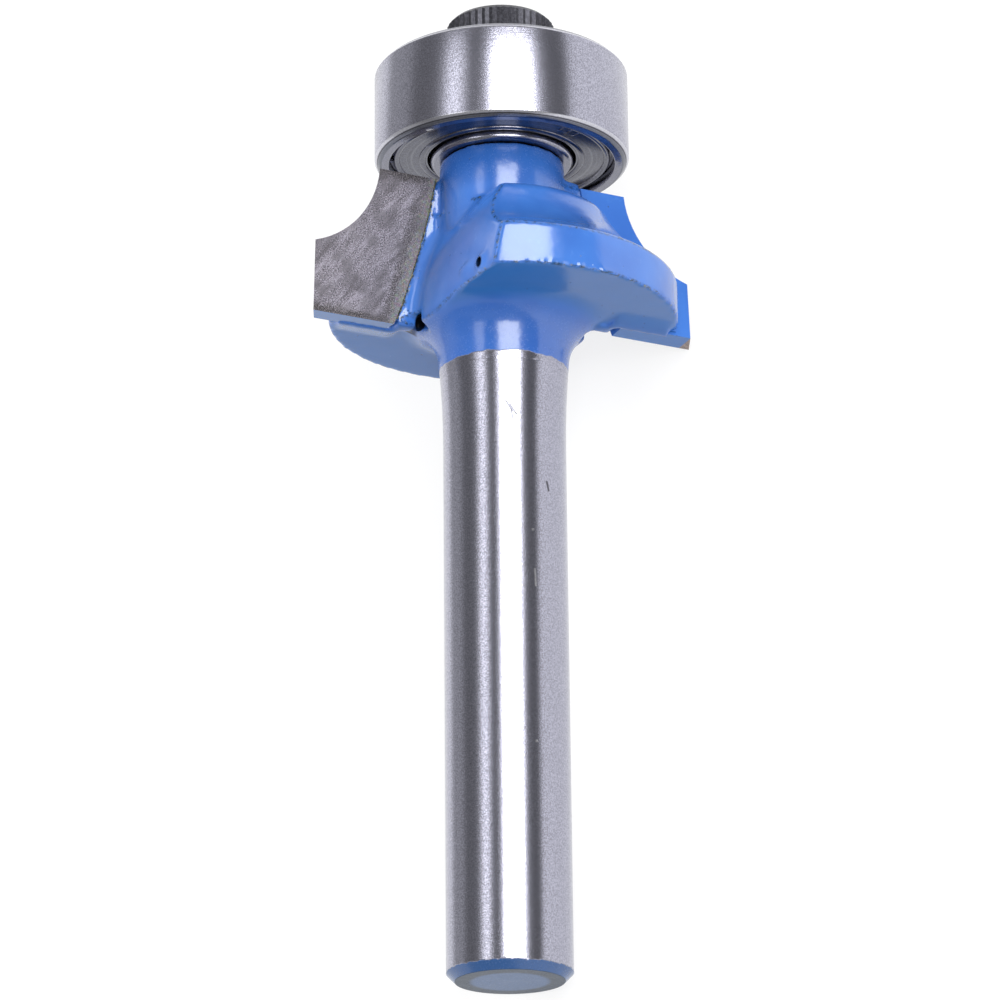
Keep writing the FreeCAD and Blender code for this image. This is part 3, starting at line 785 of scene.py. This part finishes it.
def add_filler(piece, turn, middle, size, lean):
    """A block of enamel, placed outwards, out of a tip's face and up the bit, leaning with that face."""
    bpy.ops.object.select_all(action="DESELECT")
    bpy.ops.mesh.primitive_cube_add(size=1)
    block = bpy.context.object
    block.data.transform(Matrix.Diagonal(size).to_4x4())
    block.data.transform(Matrix(((1, 0, lean, 0), (0, 1, face_lean, 0), (0, 0, 1, 0), (0, 0, 0, 1))))
    block.data.transform(Matrix.Translation(middle))
    lay_beside_tip(block, turn)
    join_to(piece, block)


def mark_edges(piece, points, reach):
    """Writes how near each vertex is to a sharp edge, 1 on it and 0 from the reach outwards."""
    tree = KDTree(len(points))
    for index, point in enumerate(points):
        tree.insert(point, index)
    tree.balance()
    layer = piece.data.attributes.new("edge_wear", "FLOAT", "POINT")
    for vertex, value in zip(piece.data.vertices, layer.data):
        value.value = max(0.0, 1 - tree.find(vertex.co)[2] / (reach * MM))


def give(node, material):
    """Puts one finish on a solid's own mesh slots."""
    mesh = frame["nodes"][node].data
    mesh.materials.clear()
    mesh.materials.append(material)


class RouterBitBody(bpy.types.Operator):
    """Enamel and ground steel on the body."""

    bl_idname = "router_bit.body"
    bl_label = "Finish the body"

    def execute(self, context):
        material = enamelled_steel()
        head = copy_of("bit_body", "enamelled_head")
        keep_part(head, sizes().enamel_start - 0.5, True)
        edges = sharp_points(head, 25, 0.05)
        blob(head, pit_place, (0.18, 0.55, 0.45), wall_facing, "UNION")
        blob(head, run_place, (0.12, 0.75, 0.30), wall_facing, "UNION")
        add_drops(head)
        for index in range(tip_count):
            add_ramp(head, index * 180)
            for middle, size, lean in (neck_filler, foot_filler):
                add_filler(head, index * 180, middle, size, lean)
        remesh = head.modifiers.new("enamel", "REMESH")
        remesh.mode = "VOXEL"
        remesh.voxel_size = enamel_voxel * MM
        remesh.use_smooth_shade = True
        soften = head.modifiers.new("soften", "SMOOTH")
        soften.iterations = enamel_softening
        apply_all(head)
        blob(head, pit_place, (0.55, 0.26, 0.24), wall_facing, "DIFFERENCE")
        blob(head, scar_place, (0.12, 0.40, 0.10), wall_facing, "DIFFERENCE")
        blob(head, hollow_place, (0.34, 0.55, 0.38), tip_direction, "DIFFERENCE")
        only(head)
        bpy.ops.object.shade_smooth_by_angle(angle=math.radians(50))
        mark_edges(head, edges, enamel_wear_reach)
        shank = copy_of("bit_body", "ground_shank")
        keep_part(shank, sizes().enamel_start - 0.4, False)
        mark_edges(shank, sharp_points(shank, 25, 0.05), shank_wear_reach)
        only(shank)
        bpy.ops.object.shade_smooth_by_angle(angle=math.radians(20))
        for piece in (head, shank):
            piece.data.materials.clear()
            piece.data.materials.append(material)
            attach(piece, "bit")
            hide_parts("bit_body")
        return {"FINISHED"}


class RouterBitTips(bpy.types.Operator):
    """Ground carbide on the tips and braze at their seams."""

    bl_idname = "router_bit.tips"
    bl_label = "Finish the tips"

    def execute(self, context):
        for index in range(tip_count):
            give(f"carbide_tip_{index + 1}", ground_carbide(index))
            give(f"braze_seam_{index + 1}", rough_braze(index))
        return {"FINISHED"}


def round_edges(piece, width):
    """Small rounds on a solid's sharp edges, which catch the light as thin lines."""
    weld = piece.modifiers.new("weld", "WELD")
    weld.merge_threshold = 0.002 * MM
    bevel = piece.modifiers.new("rounds", "BEVEL")
    bevel.width = width * MM
    bevel.segments = 2
    bevel.limit_method = "ANGLE"
    bevel.angle_limit = math.radians(30)


def pressed_shield(side, height, outwards):
    """A shield with the beads that the press leaves round it, and a few small dents."""
    shield = copy_of(f"shield_{side}", f"pressed_shield_{side}")
    for radius, width, depth in shield_beads:
        bpy.ops.object.select_all(action="DESELECT")
        bpy.ops.mesh.primitive_torus_add(
            major_segments=96, minor_segments=12, major_radius=radius * MM, minor_radius=width / 2 * MM)
        bead = bpy.context.object
        bead.data.transform(Matrix.Diagonal((1, 1, depth / (width / 2), 1)))
        lay_at(bead, (0, 0, height))
        combine(shield, bead, "UNION")
    for turn in shield_dents:
        angle = math.radians(turn)
        place = (dent_radius * math.cos(angle), dent_radius * math.sin(angle), height + outwards * 0.06)
        blob(shield, place, (0.30, 0.09, 0.13), turn, "DIFFERENCE")
    only(shield)
    bpy.ops.object.shade_smooth_by_angle(angle=math.radians(35))
    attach(shield, "guide_ring")
    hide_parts(f"shield_{side}")
    return shield


class RouterBitBearing(bpy.types.Operator):
    """Ground rings, pressed shields and dark snap rings of the guide bearing."""

    bl_idname = "router_bit.bearing"
    bl_label = "Finish the bearing"

    def execute(self, context):
        rings = ring_steel("bearing_rings", 0.21, 0.26)
        give("bearing_outer_ring", rings)
        give("bearing_inner_ring", rings)
        pressed = ring_steel("pressed_shield", 0.2, 0.35, 0.5)
        inside = ring_steel("cage_and_balls", 0.15, 0.1)
        springs = ring_steel("snap_wire", 0.25, 0.3, 0.2)
        for side in ("outer", "inner"):
            round_edges(frame["nodes"][f"bearing_{side}_ring"], 0.05)
        for side in ("lower", "upper"):
            round_edges(frame["nodes"][f"snap_ring_{side}"], 0.06)
        for side, height, outwards in (("lower", shield_low, -1), ("upper", shield_high, 1)):
            shield = pressed_shield(side, height, outwards)
            shield.data.materials.clear()
            shield.data.materials.append(pressed)
            give(f"snap_ring_{side}", springs)
            give(f"cage_{side}_half", inside)
        for index in range(ball_count):
            give(f"bearing_ball_{index + 1}", inside)
        return {"FINISHED"}


class RouterBitScrew(bpy.types.Operator):
    """Black oxide on the screw."""

    bl_idname = "router_bit.screw"
    bl_label = "Finish the screw"

    def execute(self, context):
        give("cap_screw", black_oxide())
        return {"FINISHED"}


def towards(round_angle, lift):
    """A direction from the bit: round its axis from the camera's side, and lifted to its head."""
    turn = math.radians(round_angle)
    rise = math.radians(lift)
    flat = bit_across * math.sin(turn) - bit_depth * math.cos(turn)
    return flat * math.cos(rise) + bit_along * math.sin(rise)


def facing_back(direction):
    """The turn of a lamp or card that looks back along a direction, its length along the bit."""
    length = (bit_along - direction * bit_along.dot(direction)).normalized()
    width = length.cross(direction)
    return Matrix((width, length, direction)).transposed().to_4x4()


def stage_place(direction, distance):
    """Where a lamp or card stands, and its turn."""
    return Matrix.Translation(from_bit(stage_middle) + direction * distance) @ facing_back(direction)


def softbox(name, round_angle, lift, distance, width, length, power):
    data = bpy.data.lights.new(name, "AREA")
    data.shape = "RECTANGLE"
    data.size = width
    data.size_y = length
    data.energy = power
    lamp = bpy.data.objects.new(name, data)
    bpy.context.scene.collection.objects.link(lamp)
    lamp.matrix_world = stage_place(towards(round_angle, lift), distance)
    return lamp


def dark_card(name, round_angle, lift, distance, width, length, level):
    """A dark card that only polished faces see, which gives the steel its dark bands."""
    bpy.ops.object.select_all(action="DESELECT")
    bpy.ops.mesh.primitive_plane_add(size=1)
    card = bpy.context.object
    card.name = name
    card.data.transform(Matrix.Diagonal((width, length, 1, 1)))
    card.data.transform(stage_place(towards(round_angle, lift), distance))
    material = new_material(name)
    glow = add(material.node_tree, "Emission", {0: (1, 1, 1, 1), 1: level})
    add(material.node_tree, "OutputMaterial", {"Surface": glow.outputs[0]})
    card.data.materials.append(material)
    card.visible_camera = False
    card.visible_diffuse = False
    card.visible_shadow = False
    card.visible_transmission = False


class RouterBitStage(bpy.types.Operator):
    """Pale floor, soft lamps, and the camera at the photograph's angle."""

    bl_idname = "router_bit.stage"
    bl_label = "Set the stage"

    def execute(self, context):
        scene = context.scene
        bpy.ops.object.select_all(action="DESELECT")
        bpy.ops.mesh.primitive_plane_add(size=sizes().floor_size)
        floor = context.object
        floor.name = "floor"
        material = new_material("pale_floor")
        tree = material.node_tree
        rays = add(tree, "LightPath")
        seen = calc(tree, "MAXIMUM", rays.outputs["Is Camera Ray"], rays.outputs["Is Glossy Ray"])
        seen = calc(tree, "MAXIMUM", seen, rays.outputs["Is Transmission Ray"])
        matt = add(tree, "BsdfDiffuse", {0: (0.86, 0.86, 0.87, 1)})
        white = add(tree, "Emission", {0: (1, 1, 1, 1), 1: 1.0})
        share = times(tree, seen, floor_glow)
        both = add(tree, "MixShader", {0: share, 1: matt.outputs[0], 2: white.outputs[0]})
        add(tree, "OutputMaterial", {"Surface": both.outputs[0]})
        floor.data.materials.append(material)

        softbox("main_softbox", *main_lamp)
        softbox("side_softbox", *side_lamp)
        softbox("fill_softbox", *fill_lamp).visible_glossy = False
        for name, values in dark_cards:
            dark_card(name, *values)

        world = bpy.data.worlds.new("studio")
        world.use_nodes = True
        tree = world.node_tree
        tree.nodes.clear()
        rays = add(tree, "LightPath")
        seen = calc(tree, "MAXIMUM", rays.outputs["Is Camera Ray"], rays.outputs["Is Transmission Ray"])
        level = slide(tree, rays.outputs["Is Glossy Ray"], world_diffuse, world_glossy)
        level = slide(tree, seen, level, 1.0)
        sky = add(tree, "Background", {0: (1, 1, 1, 1), 1: level})
        add(tree, "OutputWorld", {"Surface": sky.outputs[0]})
        scene.world = world
        scene.view_settings.view_transform = "Standard"

        data = bpy.data.cameras.new("camera")
        data.lens = sizes().camera_focal
        data.sensor_width = 36.0
        data.clip_start = 0.01
        data.clip_end = 20.0
        camera = bpy.data.objects.new("camera", data)
        scene.collection.objects.link(camera)
        right, ahead = Vector(camera_right), Vector(camera_ahead)
        turn = Matrix((right, right.cross(ahead), -ahead)).transposed()
        turn = (TO_BIT.transposed() @ turn).to_4x4()
        camera.matrix_world = Matrix.Translation(from_bit(camera_place)) @ turn
        scene.camera = camera
        return {"FINISHED"}


class RouterBitPanel(bpy.types.Panel):
    """Lists the steps that dress the bit."""

    bl_idname = "VIEW3D_PT_router_bit"
    bl_label = "Router bit"
    bl_space_type = "VIEW_3D"
    bl_region_type = "UI"
    bl_category = "Router bit"

    def draw(self, context):
        for group in (context.scene.router_bit_sizes, context.scene.router_bit_colours):
            for name in group.__annotations__:
                self.layout.prop(group, name)
        for step_class in STEPS:
            self.layout.operator(step_class.bl_idname)


STEPS = (RouterBitBody, RouterBitTips, RouterBitBearing, RouterBitScrew, RouterBitStage)
CLASSES = (RouterBitColours, RouterBitSizes, *STEPS, RouterBitPanel)


def register():
    for made in CLASSES:
        bpy.utils.register_class(made)
    bpy.types.Scene.router_bit_colours = bpy.props.PointerProperty(type=RouterBitColours)
    bpy.types.Scene.router_bit_sizes = bpy.props.PointerProperty(type=RouterBitSizes)


def unregister():
    del bpy.types.Scene.router_bit_sizes
    del bpy.types.Scene.router_bit_colours
    for made in reversed(CLASSES):
        bpy.utils.unregister_class(made)


def main():
    register()
    bpy.ops.router_bit.body()
    bpy.ops.router_bit.tips()
    bpy.ops.router_bit.bearing()
    bpy.ops.router_bit.screw()
    bpy.ops.router_bit.stage()


if __name__ == "__main__":
    main()
